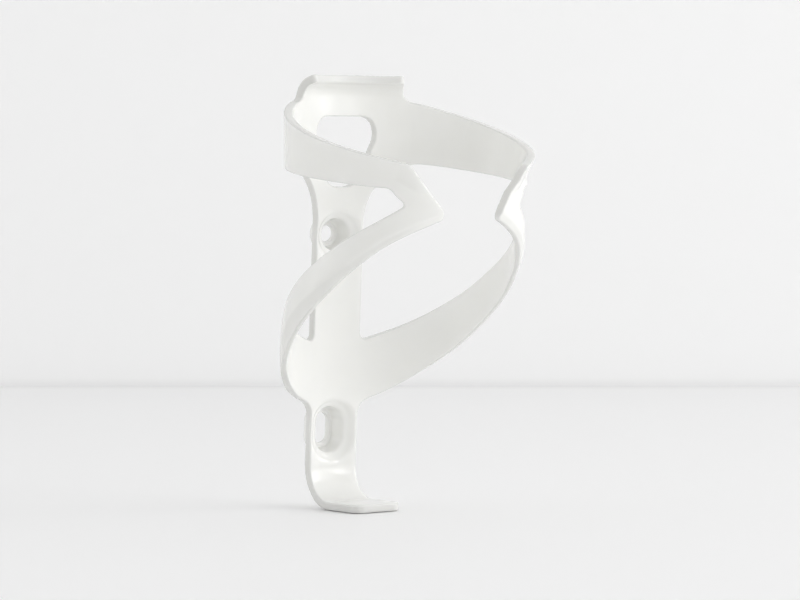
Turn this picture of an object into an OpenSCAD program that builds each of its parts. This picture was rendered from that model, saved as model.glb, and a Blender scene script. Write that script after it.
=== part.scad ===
// Bicycle water bottle cage, one injection moulding, drawn as its named features.
// Millimetres. Z is the bottle's axis, the spine stands at +Y and the bottle goes in from the top.
// Angles on the shell are measured round Z from the spine (0) to the open front (180).

/* [Bottle] */
// Inner diameter of the band at its top edge, for a standard 73 to 74 mm bottle
band_bore = 74; // [70:0.5:78]
// Inner radius of the arms when empty, a little under the bottle's so that they grip it
grip_r = 35.5; // [33:0.1:37]
// How far the arms' centre sits behind the bottle's axis
grip_shift = 1.6; // [0:0.1:3]

/* [Shell] */
// Thickness of the band, arms and wings
wall = 2.8; // [2:0.1:4]
// Bevel that stands for the rounded edges of the shell
edge_bevel = 0.6; // [0:0.1:1]
// Height of the wide bevel along the outer lower edge of the arms and wings
low_bevel = 2.2; // [0.6:0.1:4]
// Depth of that bevel, taken off the shell's thickness
low_bevel_in = 1.2; // [0.6:0.1:1.4]

/* [Spine] */
// Width of the spine
spine_w = 18.1; // [14:0.1:24]
// Inner radius of the spine's shallow hollow, measured from the bottle's axis
spine_r = 38; // [36:0.1:40]
// Thickness of the spine at its top, where it meets the head panel
spine_t = 2.7; // [2:0.1:4]
// Height at which the spine starts to widen into the head panel
flare_z = 93; // [80:1:100]
// Radius of the curve by which the spine widens into the band
flare_r = 20; // [10:1:30]
// Half angle of the head panel, from its middle to where each band starts
head_half = 30; // [24:1:34]

/* [Head window] */
// Height of the window's top edge
window_top = 127; // [122:0.1:129]
// Height of the window's bottom edge
window_low = 104.1; // [100:0.1:112]
// Half width of the window at its widest
window_half = 12; // [6:0.1:14]

/* [Top hook] */
// Height of the cage from its lowest point to the hook's top
overall_h = 140.8; // [130:0.1:150]
// Inner bend radius of the hook, which catches the groove round the bottle
hook_bend = 4.2; // [2:0.1:6]
// Angle that the hook turns inwards from upright
hook_turn = 67; // [30:1:90]
// Straight length at the hook's tip
hook_nose = 2; // [0:0.1:4]
// Half angle of the hook
hook_half = 31.5; // [20:0.5:34]

/* [Bolt bosses] */
// Height of the upper bolt hole's centre
upper_bolt_z = 88.4; // [80:0.1:96]
// Distance between the two bolts, the usual one on a bicycle frame
bolt_spacing = 64; // [60:0.5:74]
// Diameter of the round bolt hole, and the width of the slot
bolt_d = 5.3; // [5:0.1:6]
// Length of the lower slot from end to end
slot_len = 10; // [5.5:0.5:14]
// Radius of the seat for the bolt's head
seat_r = 4.2; // [4:0.1:6]
// Distance from the bottle's axis to the boss's back face, which lies on the frame
boss_back = 46.6; // [43:0.1:50]
// Thickness under the bolt's head
seat_t = 1.6; // [1.5:0.1:4]

/* [Foot] */
// Thickness of the foot, its bend and the spine's lower end
foot_t = 2.8; // [2:0.1:4]
// Distance from the bottle's axis back to the foot's tip
foot_tip = 10.7; // [-5:0.1:25]
// Upward slope of the foot towards its tip
foot_rise = 4.1; // [0:0.1:10]
// Inner radius of the bend between spine and foot
foot_bend_r = 10.2; // [4:0.1:14]

/* [Hidden] */
$fn = 96;

band_r = band_bore / 2;
spine_half = asin(spine_w / 2 / spine_r);
lower_bolt_z = upper_bolt_z - bolt_spacing;
bolt_r = bolt_d / 2;
notch_end = 143.8;
rim_end = 144.8;
tip_end = 163.5;
blend_end = 45;
bend_top_z = foot_bend_r + foot_t;
far = 200;
part_colour = [0.88, 0.89, 0.87];

// Edges of the shell as [angle, height] pairs, joined by smooth curves.
BAND_TOP = [[0, 134], [35, 132.1], [57, 128.9], [85, 124.2], [111, 120], [145, 115.4]];
BAND_LOW = [[0, 113.3], [37, 112.2], [78, 110.1], [112, 108.6], [145, 107.1], [166, 106.4]];
NOTCH_TOP = [[130, 107.8], [135.5, 107.5], [139, 105.4], [143.8, 102.7]];
ARM_TOP = [[12, 53.3], [36, 59.4], [63, 69.4], [86, 79.8], [111, 90.3], [134, 98.9], [143.8, 102.6]];
ARM_LOW = [[12, 33], [31, 38.4], [59, 50.4], [88, 66], [121, 83.7], [139, 91.5], [164, 98.8]];
WING_FRONT = [[144.8, 115.4], [150, 111], [155, 107], [163.5, 100.4]];

function clamp01(v) = min(1, max(0, v));
function smooth01(v) = let (t = clamp01(v)) t * t * (3 - 2 * t);

// Slope of a curve at its point i.
function slope_at(c, i) =
    let (a = max(0, i - 1), b = min(len(c) - 1, i + 1))
    (c[b][1] - c[a][1]) / (c[b][0] - c[a][0]);

// Height of a curve at an angle.
function height_at(c, angle) =
    let (
        i = max([0, for (k = [0 : len(c) - 2]) if (c[k][0] <= angle) k]),
        h = c[i + 1][0] - c[i][0],
        t = (angle - c[i][0]) / h
    )
    (2 * t^3 - 3 * t^2 + 1) * c[i][1] + (t^3 - 2 * t^2 + t) * h * slope_at(c, i)
    + (3 * t^2 - 2 * t^3) * c[i + 1][1] + (t^3 - t^2) * h * slope_at(c, i + 1);

// Inner radius of the empty arms: a circle set back by grip_shift, led into the spine's radius.
function grip_in(angle) =
    let (ring = grip_shift * cos(angle) + sqrt(grip_r^2 - (grip_shift * sin(angle))^2))
    ring + (spine_r - ring) * (1 - smooth01((angle - spine_half) / (blend_end - spine_half)));

// Inner radius of the shell: the grip circle below the band, opening to the band's bore at its top.
function shell_in(angle, z) =
    let (
        low = height_at(BAND_LOW, angle),
        top = height_at(BAND_TOP, min(angle, 145)),
        open = clamp01((z - low) / (top - low)),
        base = min(grip_in(angle), z > flare_z ? band_r : far)
    )
    base + (band_r - base) * open;

// Outline of the shell at one angle, as [radius, height] points round a bevelled strip.
// Its outer lower bevel, as [depth, height], has a size of its own.
function section(angle, low, top, levels, under) =
    let (
        b = min(edge_bevel, (top - low) / 3),
        rise = min(under[1], (top - low) / 3),
        zs = [for (k = [0 : levels]) low + b + (top - low - 2 * b) * k / levels],
        outer_zs = [for (k = [0 : levels]) low + rise + (top - low - b - rise) * k / levels]
    )
    concat(
        [[shell_in(angle, low) + b, low]],
        [for (z = zs) [shell_in(angle, z), z]],
        [[shell_in(angle, top) + b, top], [shell_in(angle, top) + wall - b, top]],
        [for (k = [levels : -1 : 0]) [shell_in(angle, outer_zs[k]) + wall, outer_zs[k]]],
        [[shell_in(angle, low) + wall - under[0], low]]
    );

// Solid through a list of [angle, low, top] stations, on the right-hand side.
module strip(stations, levels = 3, under = [edge_bevel, edge_bevel]) {
    rings = [
        for (s = stations)
            [
                for (p = section(s[0], s[1], s[2], levels, under))
                    [p[0] * sin(s[0]), p[0] * cos(s[0]), p[1]]
            ]
    ];
    m = len(rings[0]);
    last = len(rings) - 1;
    sides = [
        for (i = [0 : last - 1], j = [0 : m - 1])
            let (a = i * m + j, b = i * m + (j + 1) % m)
            each [[a, b, a + m], [b, b + m, a + m]]
    ];
    start_cap = [[for (j = [m - 1 : -1 : 0]) j]];
    end_cap = [[for (j = [0 : m - 1]) last * m + j]];
    polyhedron([for (r = rings) each r], concat(sides, start_cap, end_cap), convexity = 6);
}

function steps(first, last, count) = [for (k = [0 : count]) first + (last - first) * k / count];

// Polygon corners rounded by their own radii, given as [x, y, radius].
function rounded(corners, n = 8) = [
    for (i = [0 : len(corners) - 1])
        let (
            c = corners[i],
            p = [c[0], c[1]],
            before = corners[(i + len(corners) - 1) % len(corners)],
            after = corners[(i + 1) % len(corners)],
            u = [before[0], before[1]] - p,
            v = [after[0], after[1]] - p,
            un = u / norm(u),
            vn = v / norm(v),
            half = acos(un * vn) / 2,
            reach = c[2] / tan(half),
            centre = p + (un + vn) / norm(un + vn) * c[2] / sin(half),
            from = p + un * reach - centre,
            to = p + vn * reach - centre,
            sweep = 180 - 2 * half,
            turn = sign(from[0] * to[1] - from[1] * to[0])
        )
        each c[2] == 0 ? [p] : [
            for (k = [0 : n])
                let (t = turn * sweep * k / n)
                centre + [from[0] * cos(t) - from[1] * sin(t), from[0] * sin(t) + from[1] * cos(t)]
        ]
];

// Wedge of a turned solid, centred on the spine. Children are drawn as [radius, height].
module turned(half_angle) {
    rotate([0, 0, 90 - half_angle])
        rotate_extrude(angle = 2 * half_angle)
            children();
}

// Extrudes an outline drawn as [x, height] through the back of the cage.
module through_back() {
    translate([0, far, 0])
        rotate([90, 0, 0])
            linear_extrude(far)
                children();
}

// Tapered oblong along +Y, its two round ends `apart` from centre to centre.
module oblong(apart, r_front, r_back, y_front, y_back) {
    depth = y_back - y_front;
    for (side = [-1, 1])
        translate([0, y_front, side * apart / 2])
            rotate([-90, 0, 0])
                cylinder(h = depth, r1 = r_front, r2 = r_back);
    if (apart > 0)
        translate([0, 0, -apart / 2])
            linear_extrude(apart)
                polygon([
                    [-r_front, y_front], [r_front, y_front],
                    [r_back, y_back], [-r_back, y_back]
                ]);
}

// Outside of a boss: a blunt cone behind the spine.
module boss_body(apart) {
    oblong(apart, 8.6, 5.7, spine_r - 4, boss_back);
}

// Boss with its dished seat and its bolt hole, trimmed to the spine's hollow face.
module boss(apart) {
    difference() {
        boss_body(apart);
        translate([0, 0, -20])
            cylinder(h = 40, r = spine_r);
        oblong(apart, 7.9, 5.1, spine_r - 1, spine_r + 3);
        oblong(apart, 5.3, seat_r, spine_r + 2, boss_back - seat_t);
        oblong(apart, bolt_r, bolt_r, spine_r, boss_back + 1);
    }
}

module back_plate() {
    color(part_colour)
        difference() {
            turned(spine_half)
                polygon([
                    [spine_r, bend_top_z], [spine_r + foot_t, bend_top_z],
                    [spine_r + spine_t, flare_z], [spine_r, flare_z]
                ]);
            translate([0, 0, upper_bolt_z])
                boss_body(0);
            translate([0, 0, lower_bolt_z])
                boss_body(slot_len - bolt_d);
        }
}

module head_panel() {
    panel_top = height_at(BAND_TOP, head_half);
    color(part_colour)
        difference() {
            turned(head_half)
                polygon([
                    [spine_r, flare_z], [spine_r + spine_t, flare_z],
                    [band_r + wall, 113], [band_r + wall, panel_top],
                    [band_r, panel_top], [band_r, 113]
                ]);
            for (side = [-1, 1])
                through_back()
                    translate([side * (spine_w / 2 + flare_r), flare_z])
                        rotate(side > 0 ? 40 : 140)
                            circle(r = flare_r);
            through_back()
                polygon(rounded([
                    [-window_half + 1.6, window_top, 3], [-window_half, window_top - 7, 6],
                    [-5.2, window_low, 3], [5.2, window_low, 3],
                    [window_half, window_top - 7, 6], [window_half - 1.6, window_top, 3]
                ]));
            translate([0, 0, upper_bolt_z])
                boss_body(0);
        }
}

// Side of the hook at one bend radius, as [radius, height]: upright wall, bend and nose.
function hook_side(r, base_z, bend_z) =
    concat(
        [[band_r - hook_bend + r, base_z]],
        [for (t = steps(0, hook_turn, 10)) [band_r - hook_bend + r * cos(t), bend_z + r * sin(t)]],
        [[
            band_r - hook_bend + r * cos(hook_turn) - hook_nose * sin(hook_turn),
            bend_z + r * sin(hook_turn) + hook_nose * cos(hook_turn)
        ]]
    );

module top_hook() {
    base_z = height_at(BAND_TOP, head_half);
    outer = hook_bend + wall;
    bend_z = overall_h - outer * sin(hook_turn) - hook_nose * cos(hook_turn);
    inside = hook_side(hook_bend, base_z, bend_z);
    outside = hook_side(outer, base_z, bend_z);
    color(part_colour)
        turned(hook_half)
            polygon(concat(outside, [for (i = [len(inside) - 1 : -1 : 0]) inside[i]]));
}

module right_band() {
    color(part_colour)
        strip([
            for (a = concat(steps(head_half, 130, 30), steps(132, notch_end, 8)))
                [a, a < 130.5 ? height_at(BAND_LOW, a) : height_at(NOTCH_TOP, a), height_at(BAND_TOP, a)]
        ]);
}

module left_band() {
    mirror([1, 0, 0])
        right_band();
}

module right_arm() {
    color(part_colour)
        strip([
            for (a = steps(spine_half, notch_end, 40)) [a, height_at(ARM_LOW, a), height_at(ARM_TOP, a)]
        ], 3, [low_bevel_in, low_bevel]);
}

module left_arm() {
    mirror([1, 0, 0])
        right_arm();
}

module right_wing() {
    color(part_colour)
        strip([
            for (a = concat([notch_end], steps(rim_end, tip_end, 12)))
                [a, height_at(ARM_LOW, a), a < rim_end ? height_at(BAND_TOP, a) : height_at(WING_FRONT, a)]
        ], 8, [low_bevel_in, low_bevel]);
}

module left_wing() {
    mirror([1, 0, 0])
        right_wing();
}

module upper_boss() {
    color(part_colour)
        translate([0, 0, upper_bolt_z])
            boss(0);
}

module lower_boss() {
    color(part_colour)
        translate([0, 0, lower_bolt_z])
            boss(slot_len - bolt_d);
}

// Centre of the bend between spine and foot, as [y, z].
bend_y = spine_r - 0.5 - foot_bend_r;

module foot_bend() {
    turn = 90 + foot_rise;
    color(part_colour)
        translate([-spine_w / 2, bend_y, bend_top_z])
            rotate([90, 0, 90])
                linear_extrude(spine_w)
                    difference() {
                        intersection() {
                            circle(r = foot_bend_r + foot_t);
                            polygon([
                                [0, 0], [far, 0], [far, -far],
                                [far * cos(turn), -far * sin(turn)]
                            ]);
                        }
                        circle(r = foot_bend_r);
                    }
}

module foot_rest() {
    length = bend_y - foot_tip;
    half = spine_w / 2;
    color(part_colour)
        translate([0, bend_y, bend_top_z])
            rotate([-foot_rise, 0, 0])
                translate([0, 0, -foot_bend_r - foot_t])
                    linear_extrude(foot_t)
                        polygon(rounded([
                            [-half, 0, 0], [-half, -length, 3],
                            [half, -length, 3], [half, 0, 0]
                        ]));
}

back_plate();
head_panel();
top_hook();
left_band();
right_band();
left_wing();
right_wing();
left_arm();
right_arm();
upper_boss();
lower_boss();
foot_bend();
foot_rest();
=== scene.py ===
"""Bicycle water bottle cage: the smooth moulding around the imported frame, and a pale studio set.

The frame is the CAD's: Z is the bottle's axis, the spine stands at +Y, the open front faces -Y.
Shapes are worked out in millimetres and turned into metres when their meshes are made.
"""

import math

import bpy
import numpy as np
from mathutils import Matrix, Vector


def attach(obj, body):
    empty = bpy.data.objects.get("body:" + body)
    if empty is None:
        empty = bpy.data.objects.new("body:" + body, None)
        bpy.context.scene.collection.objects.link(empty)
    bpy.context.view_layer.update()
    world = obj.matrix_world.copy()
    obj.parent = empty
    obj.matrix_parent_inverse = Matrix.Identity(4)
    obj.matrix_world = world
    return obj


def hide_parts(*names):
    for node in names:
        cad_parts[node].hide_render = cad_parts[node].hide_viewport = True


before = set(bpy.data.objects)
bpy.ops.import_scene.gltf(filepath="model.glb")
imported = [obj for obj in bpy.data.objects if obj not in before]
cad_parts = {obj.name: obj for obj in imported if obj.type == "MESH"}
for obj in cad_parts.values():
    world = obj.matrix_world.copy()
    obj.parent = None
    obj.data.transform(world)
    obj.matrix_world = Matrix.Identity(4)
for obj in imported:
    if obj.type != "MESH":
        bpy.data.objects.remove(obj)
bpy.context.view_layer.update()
scene = bpy.context.scene
MM = 0.001

# ---------------------------------------------------------------- sizes of the moulding, in mm

BAND_R = 37.0  # inner radius of the band's rim
GRIP_R = 35.5  # inner radius of the arms
GRIP_SHIFT = 1.6  # the arms' centre sits this far behind the bottle's axis
SPINE_R = 38.0  # inner radius of the spine's hollow face
WALL = 2.76  # thickness of the shell, a trace under the CAD's so as to stay inside its box
RING_R = 37.5  # where slopes along the shell are measured
SPINE_HALF_WIDTH = 9.05
FLARE_Z, FLARE_R = 93.0, 20.0  # where the spine starts to widen, and the radius of that curve
HOLLOW_ANGLE, GRIP_ANGLE = 13.4, 45.0  # between these the inside turns from spine to arm
UPPER_BOLT_Z, LOWER_BOLT_Z = 88.4, 24.4
SLOT_HALF = 2.35  # half the distance between the slot's two round ends
BOLT_R = 2.65
SEAT_R, SEAT_Y = 4.2, 45.0  # seat of the bolt's head
SEAT_TAPER, SEAT_COS = 0.22, 0.976  # the seat's wall widens by this much per mm towards the bottle
DISH_R, DISH_Y = 6.3, 39.7  # the wide dish in front of the seat
DISH_TAPER, DISH_COS = 0.9, 0.74
BOSS_R, BOSS_Y, BOSS_BACK = 8.6, 34.0, 46.6  # radius at one depth, and the flat back
BOSS_TAPER, BOSS_COS = 0.23, 0.975
BOSS_FROM_Y = 30.0  # no boss in front of this
HOOK_BEND_R, HOOK_Z, HOOK_TURN = 5.6, 133.57, math.radians(67)  # on the wall's middle
HOOK_NOSE = 2.0
HOOK_HALF = math.radians(31.5)
FOOT_BEND_R, FOOT_Y, FOOT_Z = 10.2, 27.3, 13.0  # bend's inner radius and centre
FOOT_THICKNESS, SPINE_THICKNESS = 2.8, 2.7
FOOT_TURN = math.radians(94.1)
FOOT_LENGTH = 16.6
FOOT_CORNER_R = 3.4
TIP_ANGLE = 163.5
WINDOW_TOP = (10.4, 127.0)  # half width and height at the window's upper corners
WINDOW_LOW = (5.2, 104.1)
WINDOW_TOP_SLANT = (1.6, 7.0)  # the side's way outwards and down from the upper corner
WINDOW_LOW_SLANT = (6.5, 16.2)  # and its way outwards and up from the lower corner
BEVEL_INSET = 1.35  # depth of the bevel along the arms' outer lower edge
BEVEL_LOW, BEVEL_MORE = 2.2, 3.4  # its height at the front, and how much more it has at the back

# Edges of the shell as (degrees from the spine, height), joined by smooth curves.
BAND_TOP = [(0, 134), (35, 132.1), (57, 128.9), (85, 124.2), (111, 120), (145, 115.4), (165, 112.9)]
BAND_LOW = [(0, 113.3), (37, 112.2), (78, 110.1), (112, 108.6), (130, 107.8)]
NOTCH_TOP = [(130, 107.8), (135.5, 107.5), (139, 105.4), (143.8, 102.7), (148, 99.5), (165, 84)]
BAND_CREASE = BAND_LOW + [(145, 107.1), (166, 106.4)]
ARM_TOP = [(0, 51.5), (12, 53.3), (36, 59.4), (63, 69.4), (86, 79.8), (111, 90.3), (134, 98.9)]
ARM_TOP += [(143.8, 102.6), (150, 105.0), (165, 111.0)]
ARM_LOW = [(0, 31), (12, 33), (31, 38.4), (59, 50.4), (88, 66), (121, 83.7), (139, 91.5), (164, 98.8)]
WING_FRONT = [(120, 135.5), (145, 115.4), (150, 111), (155, 107), (163.5, 100.4), (168, 97)]


def smooth01(t):
    t = np.clip(t, 0, 1)
    return t * t * (3 - 2 * t)


def blend_min(a, b, k):
    """Union of two distances, with a fillet about k / 2 in radius."""
    h = np.clip(0.5 + 0.5 * (b - a) / k, 0, 1)
    return b + (a - b) * h - k * h * (1 - h)


def blend_max(a, b, k):
    """Intersection of two distances, with a rounded corner."""
    return -blend_min(-a, -b, k)


def rounded_max(a, b, radius):
    """Intersection of two distances that meet squarely, with an edge of this radius."""
    a, b = a + radius, b + radius
    return np.minimum(np.maximum(a, b), 0) + np.hypot(np.maximum(a, 0), np.maximum(b, 0)) - radius


class Edge:
    """A smooth edge curve: its height at an angle, and the distance of a point above it."""

    def __init__(self, points):
        angle, height = np.array(points, float).T
        last = len(angle) - 1
        before = np.maximum(np.arange(last + 1) - 1, 0)
        after = np.minimum(np.arange(last + 1) + 1, last)
        slope = (height[after] - height[before]) / (angle[after] - angle[before])
        self.angles = np.linspace(angle[0], angle[-1], 1200)
        i = np.clip(np.searchsorted(angle, self.angles, side="right") - 1, 0, last - 1)
        gap = angle[i + 1] - angle[i]
        t = (self.angles - angle[i]) / gap
        self.heights = (
            (2 * t**3 - 3 * t**2 + 1) * height[i]
            + (t**3 - 2 * t**2 + t) * gap * slope[i]
            + (3 * t**2 - 2 * t**3) * height[i + 1]
            + (t**3 - t**2) * gap * slope[i + 1]
        )
        rise = np.gradient(self.heights, self.angles) / (math.radians(1) * RING_R)
        self.cosines = 1 / np.sqrt(1 + rise**2)

    def height(self, angle):
        return np.interp(angle, self.angles, self.heights)

    def above(self, angle, z):
        return (z - self.height(angle)) * np.interp(angle, self.angles, self.cosines)


band_top, band_low = Edge(BAND_TOP), Edge(BAND_LOW)
notch_top, band_crease = Edge(NOTCH_TOP), Edge(BAND_CREASE)
arm_top, arm_low = Edge(ARM_TOP), Edge(ARM_LOW)
wing_front = Edge(WING_FRONT)


def follow_hook(r, z):
    """Radius and height of a point as if the hook were straightened upwards."""
    centre_r = BAND_R + WALL / 2 - HOOK_BEND_R
    u, v = r - centre_r, z - HOOK_Z
    turn = np.arctan2(v, u)
    bent_r = np.hypot(u, v) + centre_r
    bent_z = HOOK_Z + HOOK_BEND_R * turn
    c, s = math.cos(HOOK_TURN), math.sin(HOOK_TURN)
    nose_r = u * c + v * s + centre_r
    nose_z = HOOK_Z + HOOK_BEND_R * HOOK_TURN + (v * c - u * s)
    on_nose = turn > HOOK_TURN
    up = v > 0
    return (
        np.where(up, np.where(on_nose, nose_r, bent_r), r),
        np.where(up, np.where(on_nose, nose_z, bent_z), z),
    )


def follow_foot(x, y, r, z):
    """Offset from the spine's inner face and height, as if the foot were straightened downwards."""
    hollow = np.sqrt(np.maximum(SPINE_R**2 - x**2, 1)) - (FOOT_Y + FOOT_BEND_R)
    u = y - FOOT_Y - hollow * smooth01((z - 1) / (FOOT_Z - 1))
    v = FOOT_Z - z
    turn = np.arctan2(v, u)
    bent = np.hypot(u, v)
    c, s = math.cos(FOOT_TURN), math.sin(FOOT_TURN)
    flat = u * c + v * s
    flat_z = FOOT_Z - FOOT_BEND_R * FOOT_TURN - (v * c - u * s)
    on_flat = turn > FOOT_TURN
    down = v > 0
    offset = np.where(on_flat, flat, bent) - FOOT_BEND_R
    return (
        np.where(down, offset, r - SPINE_R),
        np.where(down, np.where(on_flat, flat_z, FOOT_Z - FOOT_BEND_R * turn), z),
    )


def inner_radius(angle, z):
    """Inner radius of the shell: the grip circle, opening to the band's bore at its rim."""
    a = np.radians(angle)
    ring = GRIP_SHIFT * np.cos(a) + np.sqrt(GRIP_R**2 - (GRIP_SHIFT * np.sin(a)) ** 2)
    on_grip = smooth01((angle - HOLLOW_ANGLE) / (GRIP_ANGLE - HOLLOW_ANGLE))
    grip = ring + (SPINE_R - ring) * (1 - on_grip)
    head = smooth01((z - FLARE_Z) / 20)
    grip = grip + (np.minimum(grip, BAND_R) - grip) * head
    low, top = band_crease.height(angle), band_top.height(angle)
    at_front = smooth01((angle - 95) / 35) * smooth01((150 - angle) / 12)
    low = top - (top - low) * (1 - 0.35 * at_front)
    return grip + (BAND_R - grip) * np.clip((z - low) / (top - low), 0, 1)


def outline(x, y, angle, z):
    """Distance outside the moulding's outline, measured along the shell."""
    flare = np.sqrt(np.maximum(FLARE_R**2 - np.clip(z - FLARE_Z, 0, FLARE_R) ** 2, 0))
    width = SPINE_HALF_WIDTH + FLARE_R - flare
    fan = 1 + (SPINE_R / np.maximum(np.hypot(x, y), 20) - 1) * smooth01((z - 3) / 10)
    beside = np.abs(x) * fan - width

    rim = blend_max(band_top.above(angle, z), wing_front.above(angle, z), 0.8)
    hook_side = np.abs(x) * math.cos(HOOK_HALF) - y * math.sin(HOOK_HALF)
    hook_end = z - (HOOK_Z + HOOK_BEND_R * HOOK_TURN + HOOK_NOSE)
    hook = blend_max(hook_side, hook_end, 1.6)
    shape = blend_min(rim, np.where(y > 0, hook, 99.0), 3.5)

    tip = (angle - TIP_ANGLE) * math.radians(1) * 37.0
    shape = blend_max(shape, tip, 2.0)

    over = np.where(angle < 130, band_low.above(angle, z), notch_top.above(angle, z))
    gap = blend_max(-arm_top.above(angle, z), over, 2.0)
    gap = blend_max(gap, -beside, 3.0)
    shape = np.maximum(shape, -gap)

    under = blend_max(arm_low.above(angle, z), -beside, 4.0)
    shape = blend_max(shape, -under, 1.8)

    ax = np.abs(x)
    top_x, top_z = WINDOW_TOP
    low_x, low_z = WINDOW_LOW
    window = blend_max(z - top_z, low_z - z, 2.0)
    out, down = WINDOW_TOP_SLANT
    upper_side = ((ax - top_x) * down + (z - top_z) * out) / math.hypot(down, out)
    out, up = WINDOW_LOW_SLANT
    lower_side = ((ax - low_x) * up - (z - low_z) * out) / math.hypot(up, out)
    window = blend_max(window, blend_max(upper_side, lower_side, 1.5), 4.0)
    shape = np.maximum(shape, -np.where(y > 0, window, 99.0))

    end = FOOT_Z - FOOT_BEND_R * FOOT_TURN - FOOT_LENGTH
    across = ax - SPINE_HALF_WIDTH + FOOT_CORNER_R
    along = end - z + FOOT_CORNER_R
    foot = np.minimum(np.maximum(across, along), 0) - FOOT_CORNER_R
    foot = foot + np.hypot(np.maximum(across, 0), np.maximum(along, 0))
    return np.maximum(shape, np.where(z < 0, foot, -99.0))


def edge_radius(angle, z):
    """How round the shell's edges are: crisp, but softer on the arms' upper edges."""
    on_arm = smooth01((angle - 20) / 20) * smooth01((arm_top.height(angle) + 2 - z) / 2)
    above = smooth01((z - arm_low.height(angle) - 5) / 4)
    return 0.25 + 0.2 * on_arm * above * smooth01((150 - angle) / 6)


def boss(shape, x, y, z, inside, bolt_z, half):
    """Adds a bolt boss: a blunt cone behind the spine with a dished seat and a through hole."""
    across = np.hypot(x, np.maximum(np.abs(z - bolt_z) - half, 0))
    body = (across - BOSS_R + (y - BOSS_Y) * BOSS_TAPER) * BOSS_COS
    body = rounded_max(body, y - BOSS_BACK, 0.6)
    body = np.maximum(body, inside + 1.5 - np.hypot(x, y))
    seat = (across - SEAT_R - (SEAT_Y - y) * SEAT_TAPER) * SEAT_COS
    dish = (across - DISH_R - (DISH_Y - y) * DISH_TAPER) * DISH_COS
    hollow = blend_min(blend_max(seat, y - SEAT_Y, 0.5), blend_max(dish, y - DISH_Y, 1.2), 0.8)
    hole = across - BOLT_R
    here = y > BOSS_FROM_Y
    shape = np.where(here, blend_min(shape, body, 1.2), shape)
    shape = np.where(here, blend_max(shape, -hollow, 0.8), shape)
    return np.where(here, blend_max(shape, -hole, 0.3), shape)


def on_shell(x, y, z):
    """Where a point lies on the shell.

    Gives its angle from the spine, the inner radius there, the offset from the inner face, the
    height along the shell, and the distance outside the shell's outline.
    """
    r = np.hypot(x, y)
    angle = np.degrees(np.arctan2(np.abs(x), y))
    shell_r, shell_z = follow_hook(r, z)
    inside = inner_radius(angle, np.minimum(shell_z, HOOK_Z))
    offset = shell_r - inside
    foot_offset, foot_z = follow_foot(x, y, r, z)
    low = z < FOOT_Z
    offset = np.where(low, foot_offset, offset)
    shell_z = np.where(low, foot_z, shell_z)
    beyond = outline(x, y, np.where(low & (shell_z < 0), 0.0, angle), shell_z)
    return angle, inside, offset, shell_z, beyond


def bevel_height(angle):
    """Height of the bevel along the arms' outer lower edge."""
    return BEVEL_LOW + BEVEL_MORE * smooth01((125 - angle) / 60)


def moulding(x, y, z):
    """Signed distance to the cage's surface, in mm, negative inside."""
    angle, inside, offset, shell_z, beyond = on_shell(x, y, z)
    low = z < FOOT_Z

    arm_z, arm_top_z = arm_low.height(angle), arm_top.height(angle)
    up_arm = np.clip((z - arm_z) / (arm_top_z - arm_z), 0, 1)
    on_arm = smooth01((angle - 16) / 20) * smooth01((arm_top_z + 4 - z) / 4)
    on_arm = on_arm * smooth01((152 - angle) / 20)
    spine = FOOT_THICKNESS + (SPINE_THICKNESS - FOOT_THICKNESS) * np.clip((z - FOOT_Z) / 80, 0, 1)
    thickness = spine + (WALL - spine) * smooth01((angle - 14) / 10) * ~low
    lean = 0.4 + 1.0 * smooth01((angle - 25) / 30) * smooth01((130 - angle) / 30)
    thickness = thickness + 0.1 * on_arm - lean * on_arm * up_arm**2
    backward = smooth01((125 - angle) / 60)
    inset = BEVEL_INSET * smooth01((angle - 25) / 50)
    steepness = inset / bevel_height(angle)
    bevelled = offset - thickness + inset - steepness * np.maximum(arm_low.above(angle, z), -1)
    through = blend_max(offset - thickness, bevelled / np.hypot(1, steepness), 0.35 + 0.6 * backward)
    through = np.maximum(-offset, through)
    radius = np.minimum(edge_radius(angle, shell_z), thickness * 0.45)
    shape = rounded_max(through, beyond, radius)
    shape = boss(shape, x, y, z, inside, UPPER_BOLT_Z, 0.0)
    return boss(shape, x, y, z, inside, LOWER_BOLT_Z, SLOT_HALF)


BEVEL_PAINTED_SHADE = 0.4  # share of the edge faces' painted shade given to the arms' lower bevel, painted darker because it faces downwards


def painted_edge_shade(x, y, z):
    """Painted shade mask: one on the shell's edge faces, less on the arms' lower bevel, and zero on
    the broad faces.
    """
    angle, _, offset, _, beyond = on_shell(x, y, z)
    above = arm_low.above(angle, z)
    bevel = smooth01(bevel_height(angle) - above) * smooth01(above + 1)
    bevel = bevel * smooth01((angle - 30) / 25) * smooth01((152 - angle) / 12)
    bevel = bevel * (offset > WALL / 3)
    return np.maximum(smooth01((beyond + 0.5) / 0.45), BEVEL_PAINTED_SHADE * bevel)


# ---------------------------------------------------------------- surface of the moulding

BLOCK = 5  # grid steps along a block that is skipped when the surface is nowhere near it


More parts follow.
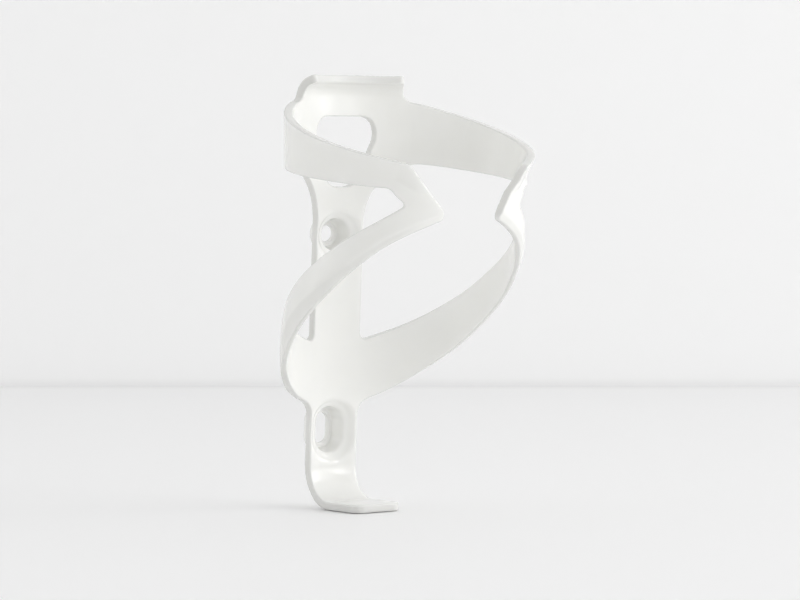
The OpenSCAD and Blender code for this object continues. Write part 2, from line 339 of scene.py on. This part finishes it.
def skin(distance, low, high, step):
    """Quad mesh of the surface where distance is zero: one point in each crossed cell."""
    low = np.array(low, float)
    blocks = np.ceil((np.array(high) - low) / (step * BLOCK)).astype(int)
    nx, ny, nz = blocks * BLOCK
    block = np.argwhere(np.ones(blocks, bool))
    middle = low + (block + 0.5) * step * BLOCK
    coarse = distance(*middle.T)
    field = np.repeat(np.repeat(np.repeat(coarse.reshape(blocks), BLOCK, 0), BLOCK, 1), BLOCK, 2)
    near = block[np.abs(coarse) < step * BLOCK * 1.3]
    local = np.argwhere(np.ones((BLOCK,) * 3, bool))
    fine = (near[:, None] * BLOCK + local[None]).reshape(-1, 3)
    field[tuple(fine.T)] = distance(*(low + fine * step).T)
    inside = field < 0

    corners = [(i, j, k) for i in (0, 1) for j in (0, 1) for k in (0, 1)]

    def at(grid, i, j, k):
        return grid[i : nx - 1 + i, j : ny - 1 + j, k : nz - 1 + k]

    count = sum(at(inside, *c).astype(np.int8) for c in corners)
    crossed = (count > 0) & (count < 8)
    cell = np.argwhere(crossed)
    number = np.full(crossed.shape, -1, np.int64)
    number[crossed] = np.arange(len(cell))

    total = np.zeros((len(cell), 3))
    hits = np.zeros(len(cell))
    for a in corners:
        for d in range(3):
            if a[d]:
                continue
            b = tuple(v + (n == d) for n, v in enumerate(a))
            fa = field[tuple((cell + a).T)]
            fb = field[tuple((cell + b).T)]
            cut = (fa < 0) != (fb < 0)
            t = fa[cut] / (fa[cut] - fb[cut])
            point = np.array(a, float) + np.zeros((cut.sum(), 3))
            point[:, d] += t
            total[cut] += point
            hits[cut] += 1
    points = (cell + total / hits[:, None]) * step + low

    quads = []
    for d in range(3):
        e, f = [(1, 2), (2, 0), (0, 1)][d]
        here = [slice(1, n - 1) for n in (nx, ny, nz)]
        here[d] = slice(0, (nx, ny, nz)[d] - 1)
        there = list(here)
        there[d] = slice(1, (nx, ny, nz)[d])
        first, second = inside[tuple(here)], inside[tuple(there)]
        place = np.argwhere(first != second)
        leaving = first[first != second]
        place += [s.start for s in here]
        ring = []
        for de, df in ((0, 0), (1, 0), (1, 1), (0, 1)):
            q = place.copy()
            q[:, e] -= de
            q[:, f] -= df
            ring.append(number[tuple(q.T)])
        ring = np.stack(ring, axis=1)
        ring[~leaving] = ring[~leaving][:, ::-1]
        quads.append(ring)
    return points, np.concatenate(quads)


def settle(distance, points, reach):
    """Moves points onto the surface where distance is zero."""
    h = 0.02  # mm to either side, for the slope
    value = distance(*points.T)
    steps = h * np.eye(3)
    change = [distance(*(points + step).T) - distance(*(points - step).T) for step in steps]
    slope = np.stack(change, axis=1) / (2 * h)
    length2 = np.maximum((slope**2).sum(axis=1), 0.25)
    move = -slope * (value / length2)[:, None]
    far = np.linalg.norm(move, axis=1)
    return points + move * np.minimum(1, reach / np.maximum(far, 1e-9))[:, None]


def evened(points, quads, amount):
    """Moves each point towards the middle of its neighbours."""
    total = np.zeros_like(points)
    count = np.zeros(len(points))
    for a, b in ((0, 1), (1, 2), (2, 3), (3, 0)):
        for p, q in ((a, b), (b, a)):
            np.add.at(total, quads[:, p], points[quads[:, q]])
            np.add.at(count, quads[:, p], 1)
    return points + amount * (total / count[:, None] - points)


STEP = 0.4
points, quads = skin(moulding, (-41.07, -37.03, -1.51), (41.0, 48.6, 141.6), STEP)
for _ in range(3):
    points = settle(moulding, evened(points, quads, 0.5), STEP * 0.5)
points = settle(moulding, points, STEP * 0.3)

mesh = bpy.data.meshes.new("cage_moulding")
mesh.from_pydata(points * MM, [], quads.tolist())
mesh.polygons.foreach_set("use_smooth", np.ones(len(quads), bool))
mesh.update()
# the rim attribute holds the painted shade mask for the edge faces and the arms' lower bevel
mesh.attributes.new("rim", "FLOAT", "POINT").data.foreach_set("value", painted_edge_shade(*points.T))
moulded = bpy.data.objects.new("cage_moulding", mesh)
scene.collection.objects.link(moulded)
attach(moulded, "root")
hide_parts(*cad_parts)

# ---------------------------------------------------------------- materials


def node(tree, kind, **values):
    """New node, with values for its inputs or, where it has no such input, its settings."""
    made = tree.nodes.new(kind)
    for name, value in values.items():
        if name in made.inputs:
            made.inputs[name].default_value = value
        else:
            setattr(made, name, value)
    return made


PAINTED_EDGE_SHADE = 0.84  # painted shade: the base colour on the shell's edge faces, and in part on the arms' lower bevel, is darkened to this


def moulded_plastic():
    """White semi-gloss plastic, slightly cloudy, with a fine moulded texture and painted shade on its
    edge faces and lower bevel.
    """
    material = bpy.data.materials.new("white_plastic")
    material.use_nodes = True
    tree = material.node_tree
    shader = tree.nodes["Principled BSDF"]
    shader.inputs["IOR"].default_value = 1.49
    shader.inputs["Specular IOR Level"].default_value = 0.5
    shader.inputs["Subsurface Weight"].default_value = 0.5
    shader.inputs["Subsurface Radius"].default_value = (1.0, 1.0, 0.95)
    shader.inputs["Subsurface Scale"].default_value = 0.004
    place = node(tree, "ShaderNodeTexCoord")

    cloud = node(tree, "ShaderNodeTexNoise", Scale=55.0, Detail=3.0, Roughness=0.5)
    tree.links.new(place.outputs["Object"], cloud.inputs["Vector"])
    tint = node(tree, "ShaderNodeValToRGB")
    tint.color_ramp.elements[0].position = 0.3
    tint.color_ramp.elements[0].color = (0.82, 0.82, 0.797, 1)
    tint.color_ramp.elements[1].position = 0.72
    tint.color_ramp.elements[1].color = (0.85, 0.85, 0.827, 1)
    tree.links.new(cloud.outputs["Fac"], tint.inputs["Fac"])
    # painted shade: the rim attribute darkens the base colour on the edge faces and the lower bevel
    rim = node(tree, "ShaderNodeAttribute", attribute_name="rim")
    shade = node(tree, "ShaderNodeValToRGB")
    shade.color_ramp.elements[0].color = (1, 1, 1, 1)
    shade.color_ramp.elements[1].color = (PAINTED_EDGE_SHADE,) * 3 + (1,)
    tree.links.new(rim.outputs["Fac"], shade.inputs["Fac"])
    mixed = node(tree, "ShaderNodeMix", data_type="RGBA", blend_type="MULTIPLY")
    mixed.inputs[0].default_value = 1.0
    tree.links.new(tint.outputs["Color"], mixed.inputs[6])
    tree.links.new(shade.outputs["Color"], mixed.inputs[7])
    tree.links.new(mixed.outputs[2], shader.inputs["Base Color"])

    wear = node(tree, "ShaderNodeTexNoise", Scale=240.0, Detail=4.0, Roughness=0.6)
    tree.links.new(place.outputs["Object"], wear.inputs["Vector"])
    gloss = node(tree, "ShaderNodeMapRange")
    gloss.inputs["To Min"].default_value = 0.12
    gloss.inputs["To Max"].default_value = 0.22
    tree.links.new(wear.outputs["Fac"], gloss.inputs["Value"])
    tree.links.new(gloss.outputs["Result"], shader.inputs["Roughness"])

    grain = node(tree, "ShaderNodeTexNoise", Scale=1400.0, Detail=2.0, Roughness=0.5)
    tree.links.new(place.outputs["Object"], grain.inputs["Vector"])
    bump = node(tree, "ShaderNodeBump", Strength=0.06, Distance=0.0001)
    tree.links.new(grain.outputs["Fac"], bump.inputs["Height"])
    tree.links.new(bump.outputs["Normal"], shader.inputs["Normal"])
    return material


def painted(name, grey, corner_y, reach, glow):
    """Plain pale surface of the set, with painted shade making it a little darker towards the corner
    of table and wall.
    """
    material = bpy.data.materials.new(name)
    material.use_nodes = True
    tree = material.node_tree
    shader = tree.nodes["Principled BSDF"]
    shader.inputs["Specular IOR Level"].default_value = 0.2
    shader.inputs["Emission Color"].default_value = (1, 1, 1, 1)
    shader.inputs["Emission Strength"].default_value = glow
    place = node(tree, "ShaderNodeTexCoord")

    split = node(tree, "ShaderNodeSeparateXYZ")
    tree.links.new(place.outputs["Object"], split.inputs["Vector"])
    near = node(tree, "ShaderNodeMapRange")
    near.inputs["From Min"].default_value = corner_y
    near.inputs["From Max"].default_value = corner_y + reach
    tree.links.new(split.outputs["Y"], near.inputs["Value"])
    # painted shade: darker towards the corner of table and wall
    tint = node(tree, "ShaderNodeValToRGB")
    tint.color_ramp.interpolation = "EASE"
    tint.color_ramp.elements[0].color = (grey * 0.93,) * 3 + (1,)
    tint.color_ramp.elements[1].color = (grey,) * 3 + (1,)
    tree.links.new(near.outputs["Result"], tint.inputs["Fac"])
    tree.links.new(tint.outputs["Color"], shader.inputs["Base Color"])

    mottle = node(tree, "ShaderNodeTexNoise", Scale=3.0, Detail=2.0)
    tree.links.new(place.outputs["Object"], mottle.inputs["Vector"])
    sheen = node(tree, "ShaderNodeMapRange")
    sheen.inputs["To Min"].default_value = 0.5
    sheen.inputs["To Max"].default_value = 0.6
    tree.links.new(mottle.outputs["Fac"], sheen.inputs["Value"])
    tree.links.new(sheen.outputs["Result"], shader.inputs["Roughness"])
    return material


plastic = moulded_plastic()
mesh.materials.append(plastic)
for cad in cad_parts.values():
    cad.data.materials.clear()
    cad.data.materials.append(plastic)

# ---------------------------------------------------------------- set: tilted table, wall, lights

# The foot's sole slopes, so the cage leans forward by its angle when it stands. The table is
# drawn under the sole, and everything on the set is placed from it.
LEAN = math.radians(4.1)
SOLE = Vector((0, 26.37, 0.033)) * MM
upright = Matrix.Rotation(-LEAN, 4, "X")
stand = Matrix.Translation(SOLE) @ upright


def flat(name, size_x, size_y, place, material):
    """Flat sheet of the set, with its middle at a place."""
    made = bpy.data.meshes.new(name)
    x, y = size_x / 2, size_y / 2
    made.from_pydata([(-x, -y, 0), (x, -y, 0), (x, y, 0), (-x, y, 0)], [], [(0, 1, 2, 3)])
    made.materials.append(material)
    piece = bpy.data.objects.new(name, made)
    piece.matrix_world = place
    scene.collection.objects.link(piece)
    return piece


VIEW_TURN = math.radians(-35.28)  # the camera's azimuth on the table
WALL_TURN = math.radians(-8.3)
WALL_DISTANCE = 0.688
facing = Matrix.Rotation(VIEW_TURN + WALL_TURN, 4, "Z")
standing = Matrix.Translation((0, WALL_DISTANCE, 3.0)) @ Matrix.Rotation(math.radians(90), 4, "X")
table_paint = painted("table_white", 0.93, 6.0, -0.035, 0.0)
wall_paint = painted("wall_white", 0.94, -3.0, 0.006, 0.07)
flat("table", 12, 12, stand @ facing @ Matrix.Translation((0, WALL_DISTANCE - 6, 0)), table_paint)
flat("wall", 12, 6, stand @ facing @ standing, wall_paint)

BRIGHT_SIDE, DIM_SIDE = 1.55, 0.55  # strength of the sky, which is dimmer on the camera's side
world = bpy.data.worlds.new("studio")
scene.world = world
world.use_nodes = True
sky = world.node_tree
sky.nodes["Background"].inputs["Color"].default_value = (1, 1, 1, 1)
direction = node(sky, "ShaderNodeTexCoord")
turned = node(sky, "ShaderNodeMapping", vector_type="VECTOR")
turned.inputs["Rotation"].default_value = (math.radians(-32.8), math.radians(32.8), 0)
sky.links.new(direction.outputs["Generated"], turned.inputs["Vector"])
split = node(sky, "ShaderNodeSeparateXYZ")
sky.links.new(turned.outputs["Vector"], split.inputs["Vector"])
dimming = node(sky, "ShaderNodeMapRange")
dimming.inputs["To Min"].default_value = BRIGHT_SIDE
dimming.inputs["To Max"].default_value = DIM_SIDE
sky.links.new(split.outputs["Z"], dimming.inputs["Value"])
sky.links.new(dimming.outputs["Result"], sky.nodes["Background"].inputs["Strength"])


def softbox(name, azimuth, elevation, distance, size, power):
    """Square area light that faces the cage, at an azimuth from the open front on the table."""
    light = bpy.data.lights.new(name, "AREA")
    light.size = size
    light.energy = power
    lamp = bpy.data.objects.new(name, light)
    a, e = math.radians(azimuth), math.radians(elevation)
    away = Vector((math.sin(a) * math.cos(e), -math.cos(a) * math.cos(e), math.sin(e)))
    aim = stand @ Vector((0, -0.02, 0.07))
    spot = aim + (upright.to_3x3() @ away) * distance
    turn = (spot - aim).to_track_quat("Z", "Y").to_matrix().to_4x4()
    lamp.matrix_world = Matrix.Translation(spot) @ turn
    scene.collection.objects.link(lamp)
    return lamp


softbox("key_light", 70, 10, 2.0, 1.6, 23.0)
softbox("window_light", 28, 10, 1.6, 0.45, 3.2)

# ---------------------------------------------------------------- camera

CAMERA_SPOT = Vector((-583.78, -818.42, 160.33)) * MM
camera_data = bpy.data.cameras.new("camera")
camera_data.sensor_width = 36.0
camera_data.lens = 143.66
camera_data.clip_start = 0.05
camera_data.clip_end = 30.0
camera = bpy.data.objects.new("camera", camera_data)
right = Vector((0.816148, -0.576906, 0.032895))
up = Vector((0.024582, 0.091538, 0.995498))
axes = Matrix((right, up, right.cross(up))).transposed().to_4x4()
camera.matrix_world = Matrix.Translation(CAMERA_SPOT) @ axes
scene.collection.objects.link(camera)
scene.camera = camera

scene.view_settings.view_transform = "Standard"
